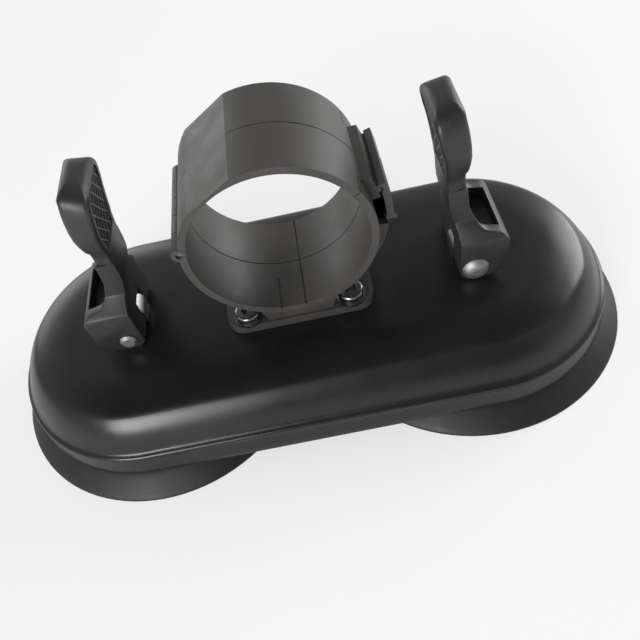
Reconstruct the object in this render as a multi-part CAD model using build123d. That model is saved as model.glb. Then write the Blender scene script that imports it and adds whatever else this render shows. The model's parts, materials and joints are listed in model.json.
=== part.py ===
"""Twin suction cup base with a hinged tube clamp.

Two rubber cups sit under one stadium-shaped cover. A cam lever over each cup lifts
the middle of the cup by a steel stem. A split ring in the middle holds a tube.
Millimetres, +Z up, X along the cover, origin on the mounting surface under the clamp.
"""
import os
from math import cos, radians, sin, tan
from build123d import *

# cover
stem_pitch = 125.0          # between the two stems, and the centres of the cover's round ends
rim_radius = 49.8           # foot of the domed shoulder
rim_z = 18.9
deck_z = 34.8               # flat top of the cover
shoulder_inset = 25.0       # how far the shoulder comes in from the rim
cover_wall = 2.6
deck_wall = 3.0
bead_step = 1.0             # ledge at the foot of the shoulder
bead_height = 1.6
skirt_flare = 1.1           # the skirt leans out for draft
skirt_z = 9.4               # lower edge of the skirt
rib_wall = 2.0
outer_rib_radius = 45.0     # round rib that bears on the edge of the cup
inner_rib_radius = 30.0
spoke_count = 8
sleeve_wall = 4.5           # guide sleeve under the deck, round the stem
sleeve_drop = 5.3

# suction cups
cup_radius = 58.6
lip_width = 4.6
lip_height = 1.3
dome_height = 9.0           # hollow under the cup
land_z = 12.5               # flat top of the cup, under the ribs
hub_radius = 13.0
hub_height = 7.0
disc_cover = 2.6            # rubber under the moulded-in disc

# stems and their moulded-in discs
stem_radius = 4.0
disc_radius = 9.0
disc_thickness = 2.4
spigot_radius = 2.5
eye_radius = 5.4
eye_thickness = 8.0

# cam levers, drawn for the lever on +X: x outward, z up from its pin
cam_base = 4.8              # pin to the face that the released lever stands on
cam_lift = 6.4              # rise of the stem over a quarter turn
lever_turn = 90.0
block_width = 28.8
block_height = 13.3
block_inner = 5.2           # pin to the inner face of the block
foot_cut = 2.4              # corner off the block's inner foot
neck_width = 18.4
paddle_width = 26.6         # across the face with the thumb pad
paddle_taper = 20.0         # degrees that the paddle's sides draw in towards its back
paddle_lean = 15.0
paddle_length = 65.5        # pin to tip
pad_depth = 0.9             # thumb pad recess
pad_width = 21.6
ridge_pitch = 3.3           # crossed ridges standing in the recess
ridge_width = 0.9
ridge_angle = 45.0
gusset_floor = 9.6
gusset_wall = 2.5
lever_pin_radius = 3.0
pin_head_radius = 4.7
pin_head_height = 1.9
pin_tail = 1.5

# tube clamp
bore_radius = 28.1
ring_wall = 2.4
ring_width = 40.5
ring_rise = 40.5            # bore axis above the deck
facet_distance = 29.2       # bore axis to the flat on the upper half
facet_angle = 122.0
hinge_angle = 170.0
hinge_radius = 30.3         # bore axis to hinge pin
hinge_pin_radius = 1.1
knuckle_radius = 2.4
hinge_recess = 1.2          # pin end inside the outer knuckles
knuckle_count = 5
ear_angle = 30.0            # top of the saddle's side ears
tab_angle = 9.0             # lower end of the upper half's middle tab
tab_width = 26.0
lug_top_z = 88.6
lug_thickness = 2.7
bead_radius = 1.3           # snap bead on the lug
bead_angle = 14.5

# latch plate
latch_pin_radius = 1.0
latch_angle = -28.5
latch_radius = 31.8         # bore axis to latch pin
latch_knuckle_radius = 2.0
latch_thickness = 2.4
latch_width = 27.0
latch_low = -6.5            # angles of the plate's lower and upper ends
latch_high = 17.5
latch_gap = 0.7             # plate to lug
bracket_width = 27.4        # over the two bracket cheeks
bracket_wall = 2.7
bracket_radius = 34.6
bracket_low = -45.0
bracket_high = -9.5

# foot of the saddle and its screws
foot_length = 53.0
foot_depth = 36.0
foot_thickness = 3.5
foot_corner = 6.0
post_length = 22.0
post_depth = 34.0
post_flare = 6.0
screw_x = 18.5
screw_y = 13.5
screw_radius = 2.5
screw_head_radius = 4.6
screw_head_height = 3.0
socket_size = 4.0
washer_radius = 5.4
washer_thickness = 0.8
nut_size = 8.0
nut_height = 4.0
thread_end = 1.0            # screw showing below its nut
plate_length = 50.0
plate_depth = 34.0
plate_thickness = 2.0

# clearances
running = 0.05              # radial, pin or stem in a hole that it turns or slides in
snug = 0.02                 # radial, pin in the piece that holds it
side_gap = 0.3              # between faces that pass each other
screw_gap = 0.25            # radial, screw in its hole
cam_gap = 0.1               # released cam above the deck

# places that follow from the sizes
stem_x = stem_pitch / 2
skirt_radius = rim_radius + bead_step
deck_radius = rim_radius - shoulder_inset
pin_z = deck_z + cam_base + cam_gap
cam_rate = cam_lift / radians(lever_turn)
block_outer = cam_base + cam_lift
disc_z = dome_height + disc_cover
ring_z = deck_z + ring_rise
ring_radius = bore_radius + ring_wall
ring_centre = (0, ring_z)
foot_top = deck_z + foot_thickness
under_deck = deck_z - deck_wall


def polar(radius, angle):
    """A point in the clamp's side view, from the bore axis."""
    return (radius * cos(radians(angle)), ring_z + radius * sin(radians(angle)))


hinge_at = polar(hinge_radius, hinge_angle)
latch_at = polar(latch_radius, latch_angle)


def side_solid(face, width, middle=0.0):
    """Extrude a side-view face along Y, centred on y = middle."""
    return Pos(0, middle, 0) * extrude(Plane.XZ * face, width / 2, both=True)


def side_disc(radius, at, width, middle=0.0):
    return side_solid(Pos(*at) * Circle(radius), width, middle)


def outline(*edges):
    return make_face(Wire(list(edges)))


def ring_sector(inner, outer, start, end):
    """Side-view face between two radii and two angles of the clamp."""
    return outline(
        CenterArc(ring_centre, outer, start, end - start).edge(),
        Line(polar(outer, end), polar(inner, end)).edge(),
        CenterArc(ring_centre, inner, start, end - start).edge(),
        Line(polar(inner, start), polar(outer, start)).edge(),
    )


def upright(radius, low, high, x=0.0, y=0.0):
    return Pos(x, y, low) * Cylinder(radius, high - low, align=(Align.CENTER, Align.CENTER, Align.MIN))


def tube(outer, inner, low, high, x=0.0, y=0.0):
    return upright(outer, low, high, x, y) - upright(inner, low, high, x, y)


def at_screws(piece):
    return [Pos(x, y, 0) * piece for x in (-screw_x, screw_x) for y in (-screw_y, screw_y)]


# cover

def stadium_solid(half_section):
    """Sweep a half section, drawn on the -Y side, round the stadium."""
    section = Plane.YZ * half_section
    end = Pos(stem_x, 0, 0) * revolve(section, Axis.Z, 180)
    middle = extrude(section + mirror(section, Plane.XZ), stem_x, both=True)
    return end + Rot(0, 0, 180) * end + middle


def cover_section(wall, deck_thickness):
    """Half section of the cover's outside, or of its hollow when it has a wall."""
    top = deck_z - deck_thickness
    radius = rim_radius - wall
    skirt = skirt_radius - wall
    low = skirt_z - wall
    shoulder = EllipticalCenterArc(
        (-deck_radius, rim_z), radius - deck_radius, top - rim_z, start_angle=90, arc_size=90
    )
    skirt_line = Polyline(
        (-radius, rim_z),
        (-radius, rim_z - bead_height / 2),
        (-skirt, rim_z - bead_height),
        (-skirt - skirt_flare, low),
        (0, low),
        (0, top),
        (-deck_radius, top),
    )
    return make_face(Wire([*skirt_line.edges(), shoulder.edge()]))


def cover_ribs():
    """Round ribs, spokes and guide sleeves inside the cover."""
    ribs = Part()
    for x in (-stem_x, stem_x):
        for radius in (inner_rib_radius, outer_rib_radius):
            ribs += tube(radius + rib_wall / 2, radius - rib_wall / 2, land_z, deck_z, x)
        ribs += upright(stem_radius + sleeve_wall, under_deck - sleeve_drop, deck_z, x)
        spoke = Pos((stem_radius + outer_rib_radius) / 2, 0, (under_deck - sleeve_drop + deck_z) / 2) * Box(
            outer_rib_radius - stem_radius, rib_wall, deck_z - under_deck + sleeve_drop
        )
        for turn in range(spoke_count):
            ribs += Pos(x, 0, 0) * Rot(0, 0, (turn + 0.5) * 360 / spoke_count) * spoke
    plate_room = Pos(0, 0, under_deck) * Box(
        plate_length + 2 * side_gap,
        2 * (screw_y + nut_size * 0.6 + side_gap),
        2 * (plate_thickness + nut_height + thread_end + side_gap),
    )
    return ribs - plate_room


def make_cover():
    outside = stadium_solid(cover_section(0, 0))
    hollow = stadium_solid(cover_section(cover_wall, deck_wall))
    cover = outside - hollow + (cover_ribs() & outside)
    for x in (-stem_x, stem_x):
        cover -= upright(stem_radius + running, 0, deck_z + 1, x)
    for hole in at_screws(upright(screw_radius + screw_gap, under_deck - 1, deck_z + 1)):
        cover -= hole
    return cover


# suction cups

def make_cup(x):
    """Rubber cup, cut with the room for its disc and stem."""
    sealing = cup_radius - lip_width
    neck_radius = skirt_radius - cover_wall - side_gap
    top_radius = min(outer_rib_radius + rib_wall, neck_radius - 1)
    flank = Spline(
        [(cup_radius, lip_height), ((cup_radius + neck_radius) / 2, skirt_z * 0.6), (neck_radius, skirt_z - 1)],
        tangents=[(-0.7, 1), (-1, 0.45)],
    )
    hollow = Spline(
        [(0, dome_height), (sealing / 2, dome_height * 0.72), (sealing, 0)],
        tangents=[(1, 0), (1, -0.8)],
    )
    hub_foot = hub_radius + hub_height / 3
    top = Polyline(
        (neck_radius, skirt_z - 1),
        (neck_radius, land_z - 1),
        (top_radius, land_z),
        (hub_foot, land_z),
        (hub_radius, land_z + hub_height / 3),
        (hub_radius, land_z + hub_height),
        (0, land_z + hub_height),
        (0, dome_height),
    )
    lip = Polyline((sealing, 0), (cup_radius, 0), (cup_radius, lip_height))
    section = make_face(Wire([*lip.edges(), flank.edge(), *top.edges(), hollow.edge()]))
    cup = Pos(x, 0, 0) * revolve(Plane.XZ * section, Axis.Z)
    cup -= upright(disc_radius + side_gap, disc_z, disc_z + disc_thickness, x)
    cup -= upright(stem_radius + side_gap, disc_z, deck_z, x)
    return cup


# stems

def make_stem(x):
    """Round stem with a flat eye at the top and a spigot for the disc at the foot."""
    stem = upright(stem_radius, disc_z + disc_thickness, pin_z, x)
    stem += upright(spigot_radius, disc_z, disc_z + disc_thickness, x)
    shoulder = pin_z - deck_z - side_gap
    eye = Rectangle(2 * eye_radius, shoulder, align=(Align.CENTER, Align.MAX))
    eye += Circle(eye_radius) & Rectangle(2 * eye_radius, eye_radius, align=(Align.CENTER, Align.MIN))
    stem += side_solid(Pos(x, pin_z) * eye, eye_thickness)
    return stem - side_disc(lever_pin_radius + running, (x, pin_z), 2 * eye_thickness)


def make_disc(x):
    return tube(disc_radius, spigot_radius + snug, disc_z, disc_z + disc_thickness, x)


# levers

def cam_curve():
    """Involute cam: its distance from the deck grows evenly as the lever turns."""
    turn = radians(lever_turn)
    steps = 6
    points = []
    for step in range(steps + 1):
        angle = turn * step / steps
        reach = cam_base + cam_rate * angle
        points.append((
            reach * sin(angle) + cam_rate * cos(angle),
            cam_rate * sin(angle) - reach * cos(angle),
        ))
    return Spline(points, tangents=[(1, 0), (0, 1)])


pad_foot = paddle_length * 0.6
inner_line = [
    (-block_inner, block_height),
    (-block_inner - 2.1, paddle_length * 0.345),
    (-block_inner - 3.1, paddle_length * 0.53),
    (-block_inner - 3.9, paddle_length * 0.65),
    (-block_inner - 6.8, paddle_length * 0.88),
    (-block_inner - 9.4, paddle_length * 0.985),
]
outer_line = [
    (-2.5, pad_foot - 1.4),
    (-1.2, pad_foot + 0.4),
    (-0.7, paddle_length * 0.7),
    (-1.6, paddle_length * 0.8),
    (-3.5, paddle_length * 0.9),
    (-7.6, paddle_length),
]


def lever_side():
    """Lever seen along its pin: block with the cam, gusset, neck and thumb paddle."""
    gusset = Spline(
        [
            (block_outer - 2.0, block_height + 1.0),
            (3.3, block_height + 2.8),
            (-0.6, block_height + 9.4),
            outer_line[0],
        ],
        tangents=[(-1, 0.6), (-0.1, 1)],
    )
    inner = Spline(inner_line, tangents=[(0, 1), (-0.45, 1)])
    outer = Spline(outer_line[1:], tangents=[(0.3, 1), (-0.5, 1)])
    lines = [
        Line((-block_inner, block_height), (-block_inner, -cam_base + foot_cut)),
        Line((-block_inner, -cam_base + foot_cut), (-block_inner + foot_cut, -cam_base)),
        Line((-block_inner + foot_cut, -cam_base), (cam_rate, -cam_base)),
        cam_curve(),
        Line((block_outer, cam_rate), (block_outer, block_height - 1.5)),
        Line((block_outer, block_height - 1.5), (block_outer - 2.0, block_height + 1.0)),
        gusset,
        Line(outer_line[0], outer_line[1]),
        outer,
        Line(outer_line[-1], inner_line[-1]),
        inner,
    ]
    return make_face(Wire([line.edge() for line in lines]))


def lever_front():
    """Lever seen from the clamp: wide block, neck and oval paddle."""
    half = [
        (block_width / 2, -cam_base - 1),
        (block_width / 2, block_height),
        (neck_width / 2, block_height + 5.5),
        (neck_width / 2, pad_foot - 7.0),
    ]
    side = Polyline((0, -cam_base - 1), *half)
    paddle = Spline(
        [
            half[-1],
            (paddle_width / 2 - 1.0, pad_foot + 3.0),
            (paddle_width / 2, paddle_length * 0.77),
            (paddle_width / 2 - 1.8, paddle_length * 0.92),
            (paddle_width / 4, paddle_length),
            (0, paddle_length + 0.8),
        ],
        tangents=[(0, 1), (-1, 0)],
    )
    middle = Line((0, paddle_length + 0.8), (0, -cam_base - 1))
    face = make_face(Wire([*side.edges(), paddle.edge(), middle.edge()]))
    return face + mirror(face, Plane.YZ)


def pad_layer(depth):
    """Side-view strip of the paddle's inner face, down to a depth."""
    curve = Spline(inner_line, tangents=[(0, 1), (-0.45, 1)])
    edge = curve.edge()
    low, high = edge @ 0, edge @ 1
    face = make_face(Wire([
        edge,
        Line(high, high + (depth, 0)).edge(),
        edge.translate((depth, 0, 0)),
        Line(low + (depth, 0), low).edge(),
    ]))
    return side_solid(face, paddle_width)


def front_solid(face):
    """Extrude a front-view face through the lever along X."""
    return extrude(Plane.YZ * face, 2 * paddle_length, both=True)


def thumb_pad():
    """Diamond cells of the thumb pad, between the crossed ridges left standing."""
    low = pad_foot - 6.0
    high = paddle_length - 2.6
    middle = (low + high) / 2
    rim = Spline(
        [
            (0, low),
            (pad_width * 0.3, low + 3.4),
            (pad_width * 0.46, middle - 4.0),
            (pad_width / 2, middle + 3.0),
            (pad_width * 0.4, high - 3.4),
            (0, high),
        ],
        tangents=[(1, 0), (-1, 0)],
    )
    half = make_face(Wire([rim.edge(), Line((0, high), (0, low)).edge()]))
    cells = half + mirror(half, Plane.YZ)
    reach = round((high - low) / ridge_pitch)
    for angle in (-ridge_angle, ridge_angle):
        for step in range(-reach, reach + 1):
            ridge = Rectangle(2 * paddle_length, ridge_width)
            cells -= Pos(0, middle) * Rot(0, 0, angle) * Pos(0, step * ridge_pitch) * ridge
    return pad_layer(pad_depth) & front_solid(cells)


def paddle_sides():
    """What the slanting sides take off the paddle."""
    along = Plane(
        origin=(inner_line[3][0], 0, inner_line[3][1]),
        x_dir=(cos(radians(paddle_lean)), 0, sin(radians(paddle_lean))),
        z_dir=(-sin(radians(paddle_lean)), 0, cos(radians(paddle_lean))),
    )
    width = paddle_width / 2
    reach = 2 * block_inner
    draw = reach * tan(radians(paddle_taper))
    side = make_face(Polyline(
        (-reach, width + draw),
        (reach, width - draw),
        (reach, 2 * width),
        (-reach, 2 * width),
        close=True,
    ))
    return extrude(along.offset(-paddle_length / 8) * (side + mirror(side, Plane.XZ)), paddle_length)


def make_lever():
    """The lever for the cup on +X, with its pin on the origin."""
    lever = side_solid(lever_side(), block_width) & front_solid(lever_front())
    slot_radius = ((pin_z - deck_z) ** 2 + eye_radius ** 2) ** 0.5 + side_gap
    shaft_room = stem_radius + side_gap
    slot = Circle(slot_radius)
    slot_height = gusset_floor - gusset_wall + cam_base + 1
    slot += Pos(0, -cam_base - 1) * Rectangle(2 * block_inner, slot_height, align=(Align.MAX, Align.MIN))
    sweep = Rectangle(block_outer + shaft_room + 1, cam_base + 1 + shaft_room, align=(Align.MIN, Align.MIN))
    slot += Pos(-shaft_room, -cam_base - 1) * sweep
    lever -= side_solid(slot, eye_thickness + 2 * side_gap)
    web = block_inner - gusset_wall
    pocket = make_face(Polyline(
        (-web - 2.6, pad_foot - 10.0),
        (-web, gusset_floor),
        (block_outer - gusset_wall, gusset_floor),
        (block_outer - gusset_wall, pad_foot),
        close=True,
    ))
    pocket_front = make_face(Polyline(
        (-block_width / 2 + gusset_wall + 1.4, gusset_floor - 1),
        (block_width / 2 - gusset_wall - 1.4, gusset_floor - 1),
        (neck_width / 2 - gusset_wall, pad_foot - 10.0),
        (-neck_width / 2 + gusset_wall, pad_foot - 10.0),
        close=True,
    ))
    lever -= side_solid(pocket, block_width) & front_solid(pocket_front)
    lever -= paddle_sides()
    lever -= thumb_pad()
    return lever - side_disc(lever_pin_radius + snug, (0, 0), 2 * block_width)


def make_lever_pin():
    """Headed pin through the lever and stem, head on the -Y side, peened on +Y."""
    half = block_width / 2
    tail = half + pin_tail
    chamfer = pin_tail * 0.6
    head = ThreePointArc(
        (0, -half - pin_head_height),
        (pin_head_radius * 0.72, -half - pin_head_height * 0.72),
        (pin_head_radius, -half),
    )
    shank = Polyline(
        (pin_head_radius, -half),
        (lever_pin_radius, -half),
        (lever_pin_radius, tail - chamfer),
        (lever_pin_radius - chamfer, tail),
        (0, tail),
        (0, -half - pin_head_height),
    )
    return revolve(make_face(Wire([head.edge(), *shank.edges()])), Axis.Y)


# clamp

def knuckle_spans():
    """Middle and width of each hinge knuckle along Y, saddle first."""
    pitch = ring_width / knuckle_count
    return [(-ring_width / 2 + (i + 0.5) * pitch, pitch - side_gap) for i in range(knuckle_count)]


def clamp_half(start, end, own, other):
    """Half of the ring with its knuckles, relieved where the other half's turn."""
    half = side_solid(ring_sector(bore_radius, ring_radius, start, end), ring_width)
    for middle, width in own:
        half += side_disc(knuckle_radius, hinge_at, width, middle)
    for middle, width in other:
        half -= side_disc(knuckle_radius + side_gap, hinge_at, width + 2 * side_gap, middle)
    return half


def make_saddle():
    """Lower half of the clamp on its foot, with ears beside the tab and a latch bracket."""
    spans = knuckle_spans()
    saddle = clamp_half(hinge_angle, 360 + tab_angle - 0.6, spans[0::2], spans[1::2])
    ear_width = (ring_width - tab_width) / 2 - side_gap
    for side in (-1, 1):
        ear = ring_sector(bore_radius, ring_radius, tab_angle - 2, ear_angle - 0.6)
        saddle += side_solid(ear, ear_width, side * (ring_width - ear_width) / 2)
    foot = Pos(0, 0, deck_z + foot_thickness / 2) * Box(foot_length, foot_depth, foot_thickness)
    foot = fillet(foot.edges().filter_by(Axis.Z), foot_corner)
    flare_z = ring_z - ring_radius + 8.0
    post = make_face(Polyline(
        (-post_length / 2, foot_top - 1),
        (post_length / 2, foot_top - 1),
        (post_length / 2 + post_flare, flare_z),
        (-post_length / 2 - post_flare, flare_z),
        close=True,
    ))
    saddle += foot + side_solid(post, post_depth)
    bracket = ring_sector(ring_radius - 0.5, bracket_radius, bracket_low, bracket_high)
    for side in (-1, 1):
        saddle += side_solid(bracket, bracket_wall, side * (bracket_width - bracket_wall) / 2)
    latch_room = bracket_width - 2 * bracket_wall
    saddle -= side_disc(latch_knuckle_radius + side_gap, latch_at, latch_room)
    saddle -= side_disc(latch_pin_radius + snug, latch_at, 2 * ring_width)
    saddle -= side_disc(hinge_pin_radius + snug, hinge_at, 2 * ring_width)
    for hole in at_screws(upright(screw_radius + screw_gap, 0, foot_top + 1)):
        saddle -= hole
    return saddle - side_disc(bore_radius, ring_centre, 2 * ring_width)


def make_upper():
    """Upper half of the clamp with its flat, middle tab, lug and snap bead."""
    spans = knuckle_spans()
    upper = clamp_half(ear_angle, hinge_angle, spans[1::2], spans[0::2])
    tab = ring_sector(bore_radius, ring_radius, tab_angle, ear_angle + 2)
    lug = ring_sector(ring_radius - 0.5, ring_radius + lug_thickness, tab_angle, ear_angle)
    lug &= Pos(ring_radius / 2, lug_top_z) * Rectangle(
        2 * ring_radius, ring_radius, align=(Align.CENTER, Align.MAX)
    )
    upper += side_solid(tab + lug, tab_width)
    upper += side_disc(bead_radius, polar(ring_radius + lug_thickness - 0.2, bead_angle), tab_width)
    flat = Pos(*polar(facet_distance, facet_angle)) * Rot(0, 0, facet_angle) * Rectangle(
        10, 2 * ring_radius, align=(Align.MIN, Align.CENTER)
    )
    upper -= side_solid(flat, 2 * ring_width)
    upper -= side_disc(hinge_pin_radius + running, hinge_at, 2 * ring_width)
    return upper - side_disc(bore_radius, ring_centre, 2 * ring_width)


def make_latch():
    """Latch plate: hangs on its pin in the bracket and snaps over the lug's bead."""
    inner = ring_radius + lug_thickness + latch_gap
    outer = inner + latch_thickness
    low = latch_low
    plate = ring_sector(inner, outer, low, latch_high)
    lip = ring_sector(inner, outer + 0.9, low, low + 3.0)
    latch = side_solid(plate + lip, latch_width)
    knuckle_width = bracket_width - 2 * bracket_wall - 2 * side_gap
    arm = make_face(Polyline(
        polar(inner, low + 4),
        polar(outer - 0.4, low + 4),
        polar(outer - 0.4, low - 4),
        polar(latch_radius + latch_knuckle_radius, latch_angle + 1),
        polar(latch_radius - latch_knuckle_radius * 0.4, latch_angle + 3.6),
        polar(inner, low - 3),
        close=True,
    ))
    latch += side_solid(arm, knuckle_width)
    latch += side_disc(latch_knuckle_radius, latch_at, knuckle_width)
    latch -= side_disc(bead_radius + 0.4, polar(ring_radius + lug_thickness - 0.2, bead_angle), 2 * latch_width)
    return latch - side_disc(latch_pin_radius + running, latch_at, 2 * latch_width)


# fastenings

def make_screw():
    top = foot_top + washer_thickness
    low = under_deck - plate_thickness - nut_height - thread_end
    screw = upright(screw_radius, low, top + 1)
    head = upright(screw_head_radius, top, top + screw_head_height)
    head = fillet(head.faces().sort_by(Axis.Z)[-1].edges(), 1.0)
    socket = Pos(0, 0, top + screw_head_height / 3) * extrude(
        RegularPolygon(socket_size / 2, 6, major_radius=False), screw_head_height
    )
    return screw + head - socket


def make_washer():
    return tube(washer_radius, screw_radius + screw_gap, foot_top, foot_top + washer_thickness)


def make_nut():
    low = under_deck - plate_thickness - nut_height
    nut = Pos(0, 0, low) * extrude(RegularPolygon(nut_size / 2, 6, major_radius=False), nut_height)
    return nut - upright(screw_radius + snug, low - 1, low + nut_height + 1)


def make_plate():
    plate = Pos(0, 0, under_deck - plate_thickness / 2) * Box(plate_length, plate_depth, plate_thickness)
    plate = fillet(plate.edges().filter_by(Axis.Z), foot_corner)
    for hole in at_screws(upright(screw_radius + screw_gap, 0, deck_z)):
        plate -= hole
    return plate


lever = Pos(stem_x, 0, pin_z) * make_lever()
lever_pin = Pos(stem_x, 0, pin_z) * make_lever_pin()
half_turn = Rot(0, 0, 180)

nodes = {
    "housing_cover": make_cover(),
    "clamp_saddle": make_saddle(),
    "clamp_upper": make_upper(),
    "hinge_pin": side_disc(hinge_pin_radius, hinge_at, ring_width - 2 * hinge_recess),
    "latch_plate": make_latch(),
    "latch_pin": side_disc(latch_pin_radius, latch_at, bracket_width + 0.8),
    "backing_plate": make_plate(),
    "saddle_screws": Compound(children=at_screws(make_screw())),
    "saddle_washers": Compound(children=at_screws(make_washer())),
    "saddle_nuts": Compound(children=at_screws(make_nut())),
}
for side, x in (("left", -stem_x), ("right", stem_x)):
    turn = half_turn if side == "left" else Rot(0, 0, 0)
    nodes["suction_cup_" + side] = make_cup(x)
    nodes["stem_" + side] = make_stem(x)
    nodes["stem_disc_" + side] = make_disc(x)
    nodes["lever_" + side] = turn * lever
    nodes["lever_pin_" + side] = turn * lever_pin

os.makedirs("parts", exist_ok=True)
for name, piece in nodes.items():
    export_step(piece, "parts/" + name + ".step")
    print(name, "volume", round(piece.volume), "solids", len(piece.solids()))
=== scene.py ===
import json
from math import cos, pi, radians, sin

import bpy
from mathutils import Matrix, Vector

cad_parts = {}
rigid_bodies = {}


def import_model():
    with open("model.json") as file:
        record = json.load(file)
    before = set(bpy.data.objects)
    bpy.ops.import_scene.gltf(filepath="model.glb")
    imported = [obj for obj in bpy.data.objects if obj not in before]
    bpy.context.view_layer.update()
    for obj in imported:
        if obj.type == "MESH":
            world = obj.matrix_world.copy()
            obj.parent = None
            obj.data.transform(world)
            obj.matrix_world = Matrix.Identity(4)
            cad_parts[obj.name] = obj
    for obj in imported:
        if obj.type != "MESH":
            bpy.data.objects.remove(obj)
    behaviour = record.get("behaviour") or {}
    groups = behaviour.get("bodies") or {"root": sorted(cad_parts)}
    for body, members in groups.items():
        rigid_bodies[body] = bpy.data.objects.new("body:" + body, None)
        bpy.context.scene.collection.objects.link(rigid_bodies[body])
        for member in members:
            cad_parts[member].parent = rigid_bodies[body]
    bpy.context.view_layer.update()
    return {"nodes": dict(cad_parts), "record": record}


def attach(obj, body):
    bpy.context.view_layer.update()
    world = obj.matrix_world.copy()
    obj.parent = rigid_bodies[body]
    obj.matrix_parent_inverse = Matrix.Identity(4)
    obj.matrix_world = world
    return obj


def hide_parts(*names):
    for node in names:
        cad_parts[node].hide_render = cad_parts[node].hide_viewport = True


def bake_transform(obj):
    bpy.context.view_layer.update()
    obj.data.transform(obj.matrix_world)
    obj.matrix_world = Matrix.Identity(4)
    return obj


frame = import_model()
nodes = frame["nodes"]
scene = bpy.context.scene
scene.view_settings.view_transform = "Standard"
print("frame loaded,", len(nodes), "nodes")


def addNode(tree, kind, at, inputs=None, **settings):
    node = tree.nodes.new(kind)
    node.location = at
    for key, value in settings.items():
        setattr(node, key, value)
    for key, value in (inputs or {}).items():
        node.inputs[key].default_value = value
    return node


def addSocket(group, name, way, kind, value=None):
    socket = group.interface.new_socket(name=name, in_out=way, socket_type=kind)
    if value is not None:
        socket.default_value = value


def grey(level, tint=0.0):
    # a tint above nought makes it a little warmer
    return (level * (1 + tint), level, level * (1 - tint), 1)


def newSkin(name, inputs):
    # a finish group: its inputs are given, its outputs are always these three
    skin = bpy.data.node_groups.new(name, "ShaderNodeTree")
    for label, (kind, value) in inputs.items():
        addSocket(skin, label, "INPUT", kind, value)
    for label, kind in (("Color", "NodeSocketColor"), ("Roughness", "NodeSocketFloat"), ("Normal", "NodeSocketVector")):
        addSocket(skin, label, "OUTPUT", kind)
    return skin


# one finish group serves every moulded plastic and the rubber
mouldedSkin = newSkin("mouldedSkin", {
    "Color": ("NodeSocketColor", grey(0.02)),
    "Haze Color": ("NodeSocketColor", grey(0.04)),
    "Haze": ("NodeSocketFloat", 0.5),
    "Haze Size": ("NodeSocketFloat", 60),
    "Smooth": ("NodeSocketFloat", 0.3),
    "Rough": ("NodeSocketFloat", 0.5),
    "Grain": ("NodeSocketFloat", 0.1),
    "Grain Size": ("NodeSocketFloat", 2500),
})


def buildMouldedSkin(tree):
    ins = addNode(tree, "NodeGroupInput", (-900, 0))
    outs = addNode(tree, "NodeGroupOutput", (500, 0))
    place = addNode(tree, "ShaderNodeTexCoord", (-900, -300))
    cloud = addNode(tree, "ShaderNodeTexNoise", (-650, 150), {"Detail": 4, "Roughness": 0.6})
    grain = addNode(tree, "ShaderNodeTexNoise", (-650, -350), {"Detail": 2, "Roughness": 0.5})
    cloudRange = addNode(tree, "ShaderNodeMapRange", (-450, 150), {"From Min": 0.35, "From Max": 0.7})
    amount = addNode(tree, "ShaderNodeMath", (-250, 150), operation="MULTIPLY")
    tint = addNode(tree, "ShaderNodeMix", (0, 250), data_type="RGBA")
    gloss = addNode(tree, "ShaderNodeMapRange", (0, 0))
    bump = addNode(tree, "ShaderNodeBump", (0, -350), {"Distance": 0.00004})
    link = tree.links.new
    link(place.outputs["Object"], cloud.inputs["Vector"])
    link(place.outputs["Object"], grain.inputs["Vector"])
    link(ins.outputs["Haze Size"], cloud.inputs["Scale"])
    link(ins.outputs["Grain Size"], grain.inputs["Scale"])
    link(cloud.outputs["Fac"], cloudRange.inputs["Value"])
    link(cloudRange.outputs["Result"], amount.inputs[0])
    link(ins.outputs["Haze"], amount.inputs[1])
    link(amount.outputs["Value"], tint.inputs["Factor"])
    link(ins.outputs["Color"], tint.inputs["A"])
    link(ins.outputs["Haze Color"], tint.inputs["B"])
    link(cloudRange.outputs["Result"], gloss.inputs["Value"])
    link(ins.outputs["Smooth"], gloss.inputs["To Min"])
    link(ins.outputs["Rough"], gloss.inputs["To Max"])
    link(grain.outputs["Fac"], bump.inputs["Height"])
    link(ins.outputs["Grain"], bump.inputs["Strength"])
    link(tint.outputs["Result"], outs.inputs["Color"])
    link(gloss.outputs["Result"], outs.inputs["Roughness"])
    link(bump.outputs["Normal"], outs.inputs["Normal"])


buildMouldedSkin(mouldedSkin)

# drawn or turned steel: fine lines that run round or along the piece
steelSkin = newSkin("steelSkin", {
    "Color": ("NodeSocketColor", grey(0.6)),
    "Dull Color": ("NodeSocketColor", grey(0.4)),
    "Stretch": ("NodeSocketVector", (1, 1, 1)),
    "Smooth": ("NodeSocketFloat", 0.2),
    "Rough": ("NodeSocketFloat", 0.4),
    "Lines": ("NodeSocketFloat", 0.1),
})


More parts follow.
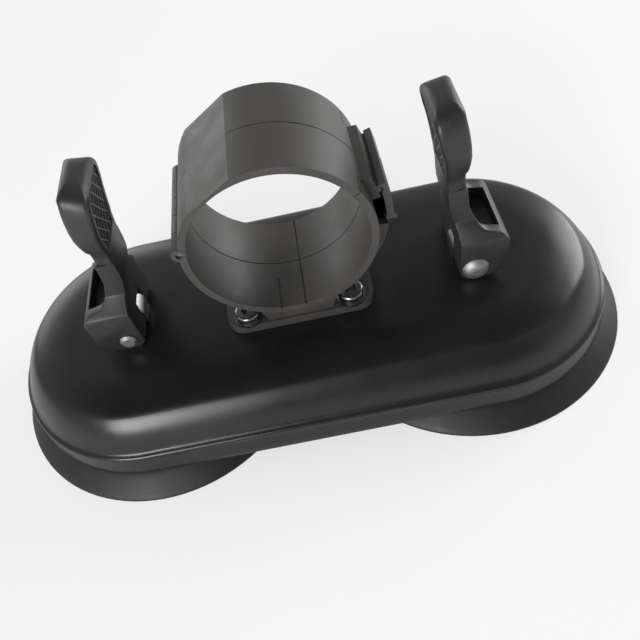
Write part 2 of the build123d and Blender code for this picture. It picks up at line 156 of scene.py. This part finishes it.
def buildSteelSkin(tree):
    ins = addNode(tree, "NodeGroupInput", (-900, 0))
    outs = addNode(tree, "NodeGroupOutput", (500, 0))
    place = addNode(tree, "ShaderNodeTexCoord", (-900, -300))
    stretch = addNode(tree, "ShaderNodeVectorMath", (-700, -200), operation="MULTIPLY")
    lines = addNode(tree, "ShaderNodeTexNoise", (-500, -200), {"Scale": 900, "Detail": 3})
    stain = addNode(tree, "ShaderNodeTexNoise", (-500, 150), {"Scale": 220, "Detail": 3})
    stainRange = addNode(tree, "ShaderNodeMapRange", (-300, 150), {"From Min": 0.45, "From Max": 0.75})
    tint = addNode(tree, "ShaderNodeMix", (0, 250), data_type="RGBA")
    gloss = addNode(tree, "ShaderNodeMapRange", (0, 0))
    bump = addNode(tree, "ShaderNodeBump", (0, -350), {"Distance": 0.00003})
    link = tree.links.new
    link(place.outputs["Object"], stretch.inputs[0])
    link(ins.outputs["Stretch"], stretch.inputs[1])
    link(stretch.outputs["Vector"], lines.inputs["Vector"])
    link(place.outputs["Object"], stain.inputs["Vector"])
    link(stain.outputs["Fac"], stainRange.inputs["Value"])
    link(stainRange.outputs["Result"], tint.inputs["Factor"])
    link(ins.outputs["Color"], tint.inputs["A"])
    link(ins.outputs["Dull Color"], tint.inputs["B"])
    link(lines.outputs["Fac"], gloss.inputs["Value"])
    link(ins.outputs["Smooth"], gloss.inputs["To Min"])
    link(ins.outputs["Rough"], gloss.inputs["To Max"])
    link(lines.outputs["Fac"], bump.inputs["Height"])
    link(ins.outputs["Lines"], bump.inputs["Strength"])
    link(tint.outputs["Result"], outs.inputs["Color"])
    link(gloss.outputs["Result"], outs.inputs["Roughness"])
    link(bump.outputs["Normal"], outs.inputs["Normal"])


buildSteelSkin(steelSkin)


def finishMaterial(name, skin, values, shaderValues):
    material = bpy.data.materials.new(name)
    material.use_nodes = True
    tree = material.node_tree
    shader = tree.nodes["Principled BSDF"]
    group = addNode(tree, "ShaderNodeGroup", (-350, 100), node_tree=skin)
    for key, value in values.items():
        group.inputs[key].default_value = value
    for key, value in shaderValues.items():
        shader.inputs[key].default_value = value
    tree.links.new(group.outputs["Color"], shader.inputs["Base Color"])
    tree.links.new(group.outputs["Roughness"], shader.inputs["Roughness"])
    tree.links.new(group.outputs["Normal"], shader.inputs["Normal"])
    return material


coverPlastic = finishMaterial("coverPlastic", mouldedSkin, {
    "Color": grey(0.009), "Haze Color": grey(0.013), "Haze": 0.6, "Haze Size": 35,
    "Smooth": 0.26, "Rough": 0.34, "Grain": 0.12, "Grain Size": 3000,
}, {"IOR": 1.47})
clampPlastic = finishMaterial("clampPlastic", mouldedSkin, {
    "Color": grey(0.043, 0.05), "Haze Color": grey(0.062, 0.06), "Haze": 0.7, "Haze Size": 90,
    "Smooth": 0.4, "Rough": 0.55, "Grain": 0.2, "Grain Size": 2200,
}, {"IOR": 1.5})
leverPlastic = finishMaterial("leverPlastic", mouldedSkin, {
    "Color": grey(0.022), "Haze Color": grey(0.034), "Haze": 0.6, "Haze Size": 80,
    "Smooth": 0.38, "Rough": 0.5, "Grain": 0.2, "Grain Size": 2200,
}, {"IOR": 1.48})
cupRubber = finishMaterial("cupRubber", mouldedSkin, {
    "Color": grey(0.011), "Haze Color": grey(0.02), "Haze": 0.7, "Haze Size": 45,
    "Smooth": 0.42, "Rough": 0.58, "Grain": 0.1, "Grain Size": 1800,
}, {"IOR": 1.45})
pinSteel = finishMaterial("pinSteel", steelSkin, {
    "Color": grey(0.42, 0.01), "Dull Color": grey(0.32, 0.02), "Stretch": (1, 0.08, 1),
    "Smooth": 0.5, "Rough": 0.6, "Lines": 0.12,
}, {"Metallic": 1})
stemSteel = finishMaterial("stemSteel", steelSkin, {
    "Color": grey(0.28), "Dull Color": grey(0.2), "Stretch": (1, 1, 0.06),
    "Smooth": 0.3, "Rough": 0.4, "Lines": 0.15,
}, {"Metallic": 1})
screwSteel = finishMaterial("screwSteel", steelSkin, {
    "Color": grey(0.3), "Dull Color": grey(0.16), "Stretch": (1, 1, 0.3),
    "Smooth": 0.2, "Rough": 0.34, "Lines": 0.1,
}, {"Metallic": 1})
plateSteel = finishMaterial("plateSteel", steelSkin, {
    "Color": grey(0.5), "Dull Color": grey(0.38), "Stretch": (0.05, 1, 1),
    "Smooth": 0.3, "Rough": 0.48, "Lines": 0.15,
}, {"Metallic": 1})

finishOf = {
    "cover_plastic": coverPlastic, "clamp_plastic": clampPlastic, "lever_plastic": leverPlastic,
    "cup_rubber": cupRubber, "pin_steel": pinSteel, "stem_steel": stemSteel,
    "screw_steel": screwSteel, "plate_steel": plateSteel,
}


def paint(piece, slotName):
    piece.data.materials.clear()
    piece.data.materials.append(finishOf[slotName])


for row in frame["record"]["subparts"]:
    paint(nodes[row["node"]], row["material_slot"])
print("materials made and put on the frame")

# what the tools below allow for: lengths in metres, angles in degrees
allowance = {"merge": 1e-6, "seam": 1e-5, "nearSeam": 2e-5, "flat": 1.5, "corner": 32}


def clearSelection():
    bpy.ops.object.select_all(action="DESELECT")


def pickOnly(piece):
    clearSelection()
    piece.select_set(True)
    bpy.context.view_layer.objects.active = piece


def editMesh(piece):
    pickOnly(piece)
    scene.tool_settings.mesh_select_mode = (True, False, False)
    bpy.ops.object.mode_set(mode="EDIT")
    bpy.ops.mesh.select_all(action="SELECT")


def doneEditing():
    bpy.ops.object.mode_set(mode="OBJECT")


def editPicked(piece, kind, picked):
    # opens the mesh with only those edges or faces selected
    editMesh(piece)
    bpy.ops.mesh.select_all(action="DESELECT")
    doneEditing()
    scene.tool_settings.mesh_select_mode = (False, kind == "EDGE", kind == "FACE")
    for item in piece.data.edges if kind == "EDGE" else piece.data.polygons:
        item.select = picked(item)
    bpy.ops.object.mode_set(mode="EDIT")


def tidyNormals(piece, merge=allowance["merge"]):
    editMesh(piece)
    bpy.ops.mesh.remove_doubles(threshold=merge)
    bpy.ops.mesh.normals_make_consistent(inside=False)
    doneEditing()


def roundEdges(piece, width):
    # width in millimetres
    pickOnly(piece)
    edge = piece.modifiers.new("edge", "BEVEL")
    edge.width = width / 1000
    edge.segments = 2
    edge.limit_method = "ANGLE"
    edge.angle_limit = radians(allowance["corner"])
    bpy.ops.object.modifier_apply(modifier="edge")


def smoothShade(piece, angle):
    pickOnly(piece)
    bpy.ops.object.shade_smooth_by_angle(angle=radians(angle))


def copyNode(nodeName, pieceName):
    # a merged copy of a CAD node, with its flat faces whole again
    pickOnly(nodes[nodeName])
    bpy.ops.object.duplicate()
    piece = bpy.context.object
    bpy.ops.object.parent_clear(type="CLEAR_KEEP_TRANSFORM")
    piece.name = pieceName
    editMesh(piece)
    bpy.ops.mesh.remove_doubles(threshold=allowance["merge"])
    bpy.ops.mesh.dissolve_limited(angle_limit=radians(allowance["flat"]))
    bpy.ops.mesh.customdata_custom_splitnormals_clear()
    doneEditing()
    return piece


def startProfile(name, start):
    # one vertex, ready to be extruded along a profile
    clearSelection()
    bpy.ops.mesh.primitive_plane_add(size=0.001, location=(0, 0, 0))
    piece = bpy.context.object
    piece.name = name
    editMesh(piece)
    bpy.ops.mesh.merge(type="CENTER")
    bpy.ops.transform.translate(value=start)
    return piece


def drawProfile(points):
    for here, there in zip(points, points[1:]):
        step = Vector(there) - Vector(here)
        bpy.ops.mesh.extrude_region_move(TRANSFORM_OT_translate={"value": step})


def spinProfile(name, stemX, profile, steps, angle):
    # spins a profile of radius and height, in millimetres, round the line of a stem
    section = [(stemX, -radius / 1000, height / 1000) for radius, height in profile]
    piece = startProfile(name, section[0])
    drawProfile(section)
    bpy.ops.mesh.select_all(action="SELECT")
    bpy.ops.mesh.spin(steps=steps, angle=angle, center=(stemX, 0, 0), axis=(0, 0, 1))
    doneEditing()
    return piece


def turnedCopy(piece, name):
    # the same piece turned half round the middle of the base
    pickOnly(piece)
    bpy.ops.object.duplicate()
    twin = bpy.context.object
    twin.name = name
    twin.rotation_mode = "XYZ"
    twin.rotation_euler = (0, 0, pi)
    bpy.ops.object.transform_apply(location=True, rotation=True, scale=True)
    return twin


def joinPieces(first, *others):
    clearSelection()
    for piece in (first, *others):
        piece.select_set(True)
    bpy.context.view_layer.objects.active = first
    bpy.ops.object.join()
    return first


def finishPiece(piece, bodyName, slotName, *replaced):
    paint(piece, slotName)
    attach(piece, bodyName)
    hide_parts(*replaced)


# cover: outer skin, bead and skirt, then back up the inside, as radius and height in millimetres
coverShape = {
    "stem": 0.0625, "steps": 56, "smooth": 50,
    "outside": [
        (0, 34.8), (26, 34.8), (29, 34.72), (32, 34.45), (35, 33.98), (37.5, 33.42), (39.4, 32.86),
        (40.4, 32.45), (41.1, 32.05), (41.8, 31.5), (43.3, 29.9), (44.7, 28.1), (46.1, 26.0), (47.3, 23.7),
        (48.3, 21.6), (49.0, 20.1), (49.5, 19.5), (50.1, 19.25), (50.6, 18.9), (50.85, 18.3), (50.8, 17.7),
        (50.5, 17.3), (50.5, 16.9), (50.75, 15.5), (51.35, 12.0), (51.75, 9.9), (51.65, 9.5), (51.3, 9.4),
    ],
    "inside": [
        (49.6, 9.4), (48.6, 17.0), (47.2, 19.5), (45.0, 23.5), (42.0, 27.6), (38.5, 30.2), (34, 31.8), (0, 31.8),
    ],
}


def makeCoverPiece():
    stemX = coverShape["stem"]
    profile = coverShape["outside"] + coverShape["inside"]
    rightEnd = spinProfile("coverShell", stemX, profile, coverShape["steps"], -pi)
    cover = joinPieces(rightEnd, turnedCopy(rightEnd, "coverOtherEnd"))
    tidyNormals(cover, allowance["seam"])
    for side in (-1, 1):
        def onSeam(edge):
            here, there = [cover.data.vertices[i].co for i in edge.vertices]
            atEnd = all(
                abs(abs(place.x) - stemX) < allowance["nearSeam"] and place.y * side > -allowance["seam"]
                for place in (here, there))
            return atEnd and here.x * there.x > 0

        editPicked(cover, "EDGE", onSeam)
        bpy.ops.mesh.bridge_edge_loops()
        doneEditing()
    tidyNormals(cover)
    smoothShade(cover, coverShape["smooth"])
    finishPiece(cover, "base", "cover_plastic", "housing_cover")


makeCoverPiece()
print("cover made")

# levers: the block comes from the CAD lever, the thumb paddle is drawn here
leverShape = {
    "pin": (62.5, 39.7), "cut": 32.8, "edge": 0.35, "blockSmooth": 35,
    # height above the pin, half width, inner and outer face
    "stations": [
        (30.5, 9.3, -8.0, -1.9), (35.5, 9.7, -8.5, -2.3), (38.4, 10.0, -8.8, -2.4), (39.3, 10.6, -8.8, -2.0),
        (40.4, 11.1, -9.0, -1.6), (42.8, 11.8, -9.2, -1.3), (45.8, 12.5, -9.6, -1.1), (49.5, 12.9, -10.2, -1.4),
        (53.0, 13.0, -11.0, -1.9), (56.0, 12.8, -11.6, -2.4), (58.4, 12.3, -12.1, -2.9), (60.0, 11.5, -12.3, -3.1),
        (61.2, 10.4, -12.2, -3.9), (62.0, 8.9, -11.8, -4.8), (62.5, 7.0, -11.2, -5.7), (62.8, 4.6, -10.4, -6.6),
        (62.9, 2.2, -9.6, -7.3),
    ],
    "backTaper": 0.86, "cornerRadius": 1.1, "cornerSteps": 3, "paddleSmooth": 40,
    "tiltFrom": 45, "tiltTo": 60, "tilt": 3.3,  # degrees that each station there leans past the last
    "padLow": 36.0, "padHigh": 61.8, "padFacing": -0.8, "padLeast": 4,  # least face area in square millimetres
    "rim": 1.7, "recess": 0.8, "recessWall": 0.3,
    "ridgeAngles": (-45, 48.6), "ridgeRows": 6, "ridgePitch": 3.3, "ridgeRadius": 0.5, "ridgeSides": 6,
    "ridgeStep": 2.4, "ridgeLeast": 2, "ridgeGap": 1.0, "ridgeReach": 20, "ridgeProbe": 0.25, "ridgeSmooth": 60,
    "seedFace": 0.2, "seedPlace": (-9.5, 0, 50),
}


def stationAt(height):
    rows = leverShape["stations"]
    for low, high in zip(rows, rows[1:]):
        if height <= high[0]:
            share = (height - low[0]) / (high[0] - low[0])
            return [a + (b - a) * share for a, b in zip(low, high)]
    return rows[-1]


def leverPoint(outward, across, height):
    pinX, pinZ = leverShape["pin"]
    return Vector((pinX + outward, across, pinZ + height)) / 1000


def makePaddle():
    rows = leverShape["stations"]
    height, half, inner, outer = rows[0]
    middle = leverPoint((inner + outer) / 2, 0, height)
    clearSelection()
    bpy.ops.mesh.primitive_plane_add(size=0.001, location=middle)
    paddle = bpy.context.object
    paddle.name = "paddle"
    bpy.ops.object.transform_apply(location=True)
    editMesh(paddle)
    bpy.ops.transform.resize(value=(outer - inner, 2 * half, 1), center_override=middle)
    doneEditing()
    editPicked(paddle, "EDGE", lambda edge: all(paddle.data.vertices[i].co.x > middle.x for i in edge.vertices))
    bpy.ops.transform.resize(value=(1, leverShape["backTaper"], 1), center_override=middle)
    bpy.ops.mesh.select_mode(type="VERT")
    bpy.ops.mesh.select_all(action="SELECT")
    bpy.ops.mesh.bevel(
        offset=leverShape["cornerRadius"] / 1000, segments=leverShape["cornerSteps"], affect="VERTICES")
    bpy.ops.mesh.select_all(action="SELECT")
    for low, high in zip(rows, rows[1:]):
        lowMiddle = leverPoint((low[2] + low[3]) / 2, 0, low[0])
        highMiddle = leverPoint((high[2] + high[3]) / 2, 0, high[0])
        thinner = (high[3] - high[2]) / (low[3] - low[2])
        bpy.ops.mesh.extrude_region_move(TRANSFORM_OT_translate={"value": highMiddle - lowMiddle})
        bpy.ops.transform.resize(value=(thinner, high[1] / low[1], thinner), center_override=highMiddle)
        if leverShape["tiltFrom"] < high[0] < leverShape["tiltTo"]:
            bpy.ops.transform.rotate(
                value=radians(leverShape["tilt"]), orient_axis="Y", center_override=highMiddle)
    doneEditing()
    tidyNormals(paddle)
    sinkPad(paddle)
    smoothShade(paddle, leverShape["paddleSmooth"])
    return paddle


def sinkPad(paddle):
    low = leverPoint(0, 0, leverShape["padLow"]).z
    high = leverPoint(0, 0, leverShape["padHigh"]).z

    def onPad(face):
        broad = face.area * 1e6 > leverShape["padLeast"]
        return broad and face.normal.x < leverShape["padFacing"] and low < face.center.z < high

    editPicked(paddle, "FACE", onPad)
    bpy.ops.mesh.inset(thickness=leverShape["rim"] / 1000, depth=0)
    bpy.ops.mesh.inset(thickness=leverShape["recessWall"] / 1000, depth=-leverShape["recess"] / 1000)
    doneEditing()


def padPlace(angle, offset, along):
    # place across and height of a point on a slanting ridge
    centre = (leverShape["padLow"] + leverShape["padHigh"]) / 2
    return along * cos(angle) - offset * sin(angle), centre + along * sin(angle) + offset * cos(angle)


def ridgeSpan(angle, offset):
    # first and last place along a ridge that lie inside the rim of the recess
    rim, probe = leverShape["rim"], leverShape["ridgeProbe"]
    low, high = leverShape["padLow"] + rim, leverShape["padHigh"] - rim
    reach = round(leverShape["ridgeReach"] / probe)
    inside = []
    for step in range(-reach, reach + 1):
        across, height = padPlace(angle, offset, step * probe)
        if low < height < high and abs(across) < stationAt(height)[1] - rim - leverShape["ridgeGap"]:
            inside.append(step * probe)
    return (inside[0], inside[-1]) if inside else (0, 0)


def drawRidge(angle, offset):
    start, end = ridgeSpan(angle, offset)
    if end - start < leverShape["ridgeLeast"]:
        return
    count = max(2, round((end - start) / leverShape["ridgeStep"]))
    points = []
    for step in range(count + 1):
        across, height = padPlace(angle, offset, start + (end - start) * step / count)
        points.append(leverPoint(stationAt(height)[2] + leverShape["recess"], across, height))
    way = (points[-1] - points[0]).normalized()
    bpy.ops.mesh.select_all(action="DESELECT")
    bpy.ops.mesh.primitive_circle_add(
        vertices=leverShape["ridgeSides"], radius=leverShape["ridgeRadius"] / 1000, fill_type="NGON",
        location=points[0], rotation=way.to_track_quat("Z", "Y").to_euler())
    drawProfile(points)


def makeRidges():
    clearSelection()
    # this face only starts the mesh, and it stays out of sight inside the paddle
    bpy.ops.mesh.primitive_plane_add(
        size=leverShape["seedFace"] / 1000, location=leverPoint(*leverShape["seedPlace"]))
    ridges = bpy.context.object
    ridges.name = "ridges"
    bpy.ops.object.transform_apply(location=True)
    editMesh(ridges)
    rows = leverShape["ridgeRows"]
    for angle in leverShape["ridgeAngles"]:
        for row in range(-rows, rows + 1):
            drawRidge(radians(angle), row * leverShape["ridgePitch"])
    doneEditing()
    tidyNormals(ridges, allowance["merge"] / 10)
    smoothShade(ridges, leverShape["ridgeSmooth"])
    return ridges


def makeLeverPieces():
    block = copyNode("lever_right", "leverBody_right")
    editMesh(block)
    cutAt = leverPoint(0, 0, leverShape["cut"])
    bpy.ops.mesh.bisect(plane_co=cutAt, plane_no=(0, 0, 1), clear_outer=True, use_fill=True)
    doneEditing()
    roundEdges(block, leverShape["edge"])
    smoothShade(block, leverShape["blockSmooth"])
    right = joinPieces(block, makePaddle(), makeRidges())
    left = turnedCopy(right, "leverBody_left")
    finishPiece(right, "lever_right", "lever_plastic", "lever_right")
    finishPiece(left, "lever_left", "lever_plastic", "lever_left")


makeLeverPieces()
print("levers made")

# clamp: rounded edges, the fine groove round its middle and the lines in its bore, in millimetres
clampShape = {
    "axis": 75.3, "ring": 30.5, "bore": 28.1, "near": 0.3, "edge": 0.35, "facetAngle": 14,
    "grooveWidth": 0.4, "grooveDepth": 0.25, "grooveFacing": 0.2,
    # lines along the bore: place across, back end, width
    "boreLines": [(-5.3, -7.0, 0.7), (3.0, 30.0, 0.45)], "lineDepth": 0.4,
    # node, the piece made from it and its body
    "pieces": [
        ("clamp_saddle", "clampSaddle", "base"),
        ("clamp_upper", "clampUpper", "clamp_upper"),
        ("latch_plate", "latchPlate", "latch"),
    ],
}


def splitAt(piece, place, direction):
    editMesh(piece)
    bpy.ops.mesh.bisect(plane_co=Vector(place) / 1000, plane_no=direction)
    doneEditing()


def pressIn(piece, depth, picked):
    editPicked(piece, "FACE", picked)
    bpy.ops.mesh.extrude_region_shrink_fatten(TRANSFORM_OT_shrink_fatten={"value": -depth / 1000})
    doneEditing()


def liesOn(face, surface):
    # whether a face's middle lies on the clamp's ring or bore
    reach = Vector((face.center.x * 1000, face.center.z * 1000 - clampShape["axis"])).length
    return abs(reach - clampShape[surface]) < clampShape["near"]


def cutGroove(piece):
    half = clampShape["grooveWidth"] / 2
    for side in (-half, half):
        splitAt(piece, (0, side, 0), (0, 1, 0))

    def inGroove(face):
        inBand = abs(face.center.y * 1000) < half and abs(face.normal.y) < clampShape["grooveFacing"]
        return inBand and (liesOn(face, "ring") or liesOn(face, "bore"))

    pressIn(piece, clampShape["grooveDepth"], inGroove)


def cutBoreLine(piece, across, backEnd, width):
    for side in (-width / 2, width / 2):
        splitAt(piece, (across + side, 0, 0), (1, 0, 0))
    splitAt(piece, (0, backEnd, 0), (0, 1, 0))

    def inLine(face):
        x, y, z = face.center * 1000
        inBand = abs(x - across) < width / 2 and y < backEnd and z < clampShape["axis"]
        return inBand and liesOn(face, "bore")

    pressIn(piece, clampShape["lineDepth"], inLine)


for nodeName, pieceName, bodyName in clampShape["pieces"]:
    clampPiece = copyNode(nodeName, pieceName)
    if nodeName != "latch_plate":
        cutGroove(clampPiece)
    if nodeName == "clamp_saddle":
        for line in clampShape["boreLines"]:
            cutBoreLine(clampPiece, *line)
    roundEdges(clampPiece, clampShape["edge"])
    smoothShade(clampPiece, clampShape["facetAngle"])
    finishPiece(clampPiece, bodyName, "clamp_plastic", nodeName)
print("clamp made")

# cups: each one is spun whole round the line of its stem, and all of it stays on the wall
cupShape = {
    "stem": 0.0625, "steps": 96, "smooth": 50, "holdHeight": 0.0128, "pullHeight": 0.0145,
    # radius and height in millimetres, from the middle below to the middle of the hub
    "section": [
        (0, 9.0), (10, 8.85), (20, 8.3), (30, 7.2), (40, 5.4), (47, 3.4), (51, 1.7), (53.2, 0.5), (54.0, 0),
        (57.9, 0), (58.45, 0.25), (58.6, 0.8), (58.3, 1.35), (56.9, 2.6), (54.4, 4.6), (51.9, 6.5), (49.4, 8.0),
        (47.9, 8.4), (47.8, 11.5), (46.8, 12.45), (40, 12.5), (30, 12.5), (20, 12.5), (15.5, 12.55), (14, 13.2),
        (13.2, 14.8), (13, 16.5), (12.9, 19.0), (12.4, 19.5), (8, 19.5), (4.3, 19.5), (4.3, 18.9), (0, 18.9),
    ],
}


def makeCup(side, sign):
    stemX = cupShape["stem"] * sign
    cup = spinProfile("cupBody_" + side, stemX, cupShape["section"], cupShape["steps"], 2 * pi)
    tidyNormals(cup)
    smoothShade(cup, cupShape["smooth"])
    paint(cup, "cup_rubber")
    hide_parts("suction_cup_" + side)
    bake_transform(cup)


for cupSide, cupSign in (("left", -1), ("right", 1)):
    makeCup(cupSide, cupSign)
print("cups made")

# floor, sky and lamps
setting = {
    "floorSize": 6, "floorGlow": 0.62, "floorMirror": 0.2, "fill": 0.4,
    "skyLow": 0.5, "skyHigh": 0.06, "skyTurn": (0.6, 0.92),
    "frontDim": 0.2, "frontTurn": (0.5, 0.9), "lampAim": (0, 0, 0.05),
    # azimuth from the front, elevation, distance, width and height, power
    "lamps": {
        "frontLamp": (-30, 20, 1.2, (0.5, 0.46), 10.5),
        "sideLamp": (119, 20, 1.2, (0.66, 0.75), 10.5),
        "backLamp": (-144, 13, 1.6, (1.1, 0.6), 4.5),
    },
}


def makeFloor():
    clearSelection()
    bpy.ops.mesh.primitive_plane_add(size=setting["floorSize"], location=(0, 0, 0))
    floor = bpy.context.object
    floor.name = "floor"
    material = bpy.data.materials.new("paleFloor")
    material.use_nodes = True
    tree = material.node_tree
    tree.nodes.clear()
    out = addNode(tree, "ShaderNodeOutputMaterial", (600, 0))
    path = addNode(tree, "ShaderNodeLightPath", (-400, 200))
    mirrored = addNode(tree, "ShaderNodeMath", (-200, 200), operation="MAXIMUM")
    direct = addNode(tree, "ShaderNodeMath", (0, 350), {1: setting["floorGlow"]}, operation="MULTIPLY")
    faint = addNode(tree, "ShaderNodeMath", (0, 150), {1: setting["floorMirror"]}, operation="MULTIPLY")
    share = addNode(tree, "ShaderNodeMath", (200, 200), operation="MAXIMUM")
    plain = addNode(tree, "ShaderNodeBsdfDiffuse", (0, 0), {"Color": grey(0.9)})
    glow = addNode(tree, "ShaderNodeEmission", (0, -150), {"Color": grey(1.0), "Strength": 1})
    mix = addNode(tree, "ShaderNodeMixShader", (400, 0))
    link = tree.links.new
    link(path.outputs["Is Glossy Ray"], mirrored.inputs[0])
    link(path.outputs["Is Transmission Ray"], mirrored.inputs[1])
    link(path.outputs["Is Camera Ray"], direct.inputs[0])
    link(mirrored.outputs["Value"], faint.inputs[0])
    link(direct.outputs["Value"], share.inputs[0])
    link(faint.outputs["Value"], share.inputs[1])
    link(share.outputs["Value"], mix.inputs["Fac"])
    link(plain.outputs["BSDF"], mix.inputs[1])
    link(glow.outputs["Emission"], mix.inputs[2])
    link(mix.outputs["Shader"], out.inputs["Surface"])
    floor.data.materials.append(material)


def makeSky():
    world = bpy.data.worlds.new("studioSky")
    scene.world = world
    world.use_nodes = True
    tree = world.node_tree
    tree.nodes.clear()
    out = addNode(tree, "ShaderNodeOutputWorld", (800, 0))
    path = addNode(tree, "ShaderNodeLightPath", (-200, 300))
    way = addNode(tree, "ShaderNodeTexCoord", (-600, 0))
    split = addNode(tree, "ShaderNodeSeparateXYZ", (-400, 0))
    height = addNode(tree, "ShaderNodeMapRange", (-200, 0), {
        "From Min": setting["skyTurn"][0], "From Max": setting["skyTurn"][1],
        "To Min": setting["skyLow"], "To Max": setting["skyHigh"],
    }, interpolation_type="SMOOTHSTEP")
    front = addNode(tree, "ShaderNodeMapRange", (-200, -300), {
        "From Min": -setting["frontTurn"][1], "From Max": -setting["frontTurn"][0],
        "To Min": setting["frontDim"], "To Max": 1.0,
    }, interpolation_type="SMOOTHSTEP")
    room = addNode(tree, "ShaderNodeMath", (0, -100), operation="MULTIPLY")
    mirrored = addNode(tree, "ShaderNodeMath", (0, 300), operation="MAXIMUM")
    level = addNode(tree, "ShaderNodeMix", (200, 100), {"A": setting["fill"]})
    shown = addNode(tree, "ShaderNodeMix", (400, 100), {"B": 1.0})
    back = addNode(tree, "ShaderNodeBackground", (600, 0), {"Color": grey(1.0)})
    link = tree.links.new
    link(way.outputs["Generated"], split.inputs["Vector"])
    link(split.outputs["Z"], height.inputs["Value"])
    link(split.outputs["Y"], front.inputs["Value"])
    link(height.outputs["Result"], room.inputs[0])
    link(front.outputs["Result"], room.inputs[1])
    link(path.outputs["Is Glossy Ray"], mirrored.inputs[0])
    link(path.outputs["Is Transmission Ray"], mirrored.inputs[1])
    link(mirrored.outputs["Value"], level.inputs["Factor"])
    link(room.outputs["Value"], level.inputs["B"])
    link(path.outputs["Is Camera Ray"], shown.inputs["Factor"])
    link(level.outputs["Result"], shown.inputs["A"])
    link(shown.outputs["Result"], back.inputs["Strength"])
    link(back.outputs["Background"], out.inputs["Surface"])


def outwardWay(azimuth, elevation):
    # azimuth is counted from the front towards the right
    return Vector((sin(azimuth) * cos(elevation), -cos(azimuth) * cos(elevation), sin(elevation)))


def addLamp(name, azimuth, elevation, distance, size, power):
    way = outwardWay(radians(azimuth), radians(elevation))
    bpy.ops.object.light_add(type="AREA", location=Vector(setting["lampAim"]) + way * distance)
    lamp = bpy.context.object
    lamp.name = name
    lamp.rotation_euler = way.to_track_quat("Z", "Y").to_euler()
    lamp.data.shape = "RECTANGLE"
    lamp.data.size, lamp.data.size_y = size
    lamp.data.energy = power


makeFloor()
makeSky()
for lampName, lampValues in setting["lamps"].items():
    addLamp(lampName, *lampValues)

shot = {
    "azimuth": 4.55, "elevation": 52.35, "roll": -15.16, "distance": 0.2588,
    "target": (0.0042, 0.0017, 0.00805), "lens": 35.8, "nearest": 0.01,
}


def placeCamera():
    azimuth, elevation, roll = (radians(shot[key]) for key in ("azimuth", "elevation", "roll"))
    back = outwardWay(azimuth, elevation)
    level = Vector((0, 0, 1)).cross(back).normalized()
    rise = back.cross(level)
    right = cos(roll) * level + sin(roll) * rise
    up = cos(roll) * rise - sin(roll) * level
    turn = Matrix((right, up, back)).transposed()
    bpy.ops.object.camera_add(location=Vector(shot["target"]) + back * shot["distance"])
    camera = bpy.context.object
    camera.rotation_euler = turn.to_euler()
    camera.data.lens = shot["lens"]
    camera.data.clip_start = shot["nearest"]
    scene.camera = camera


placeCamera()
print("floor, sky, lamps and camera placed")
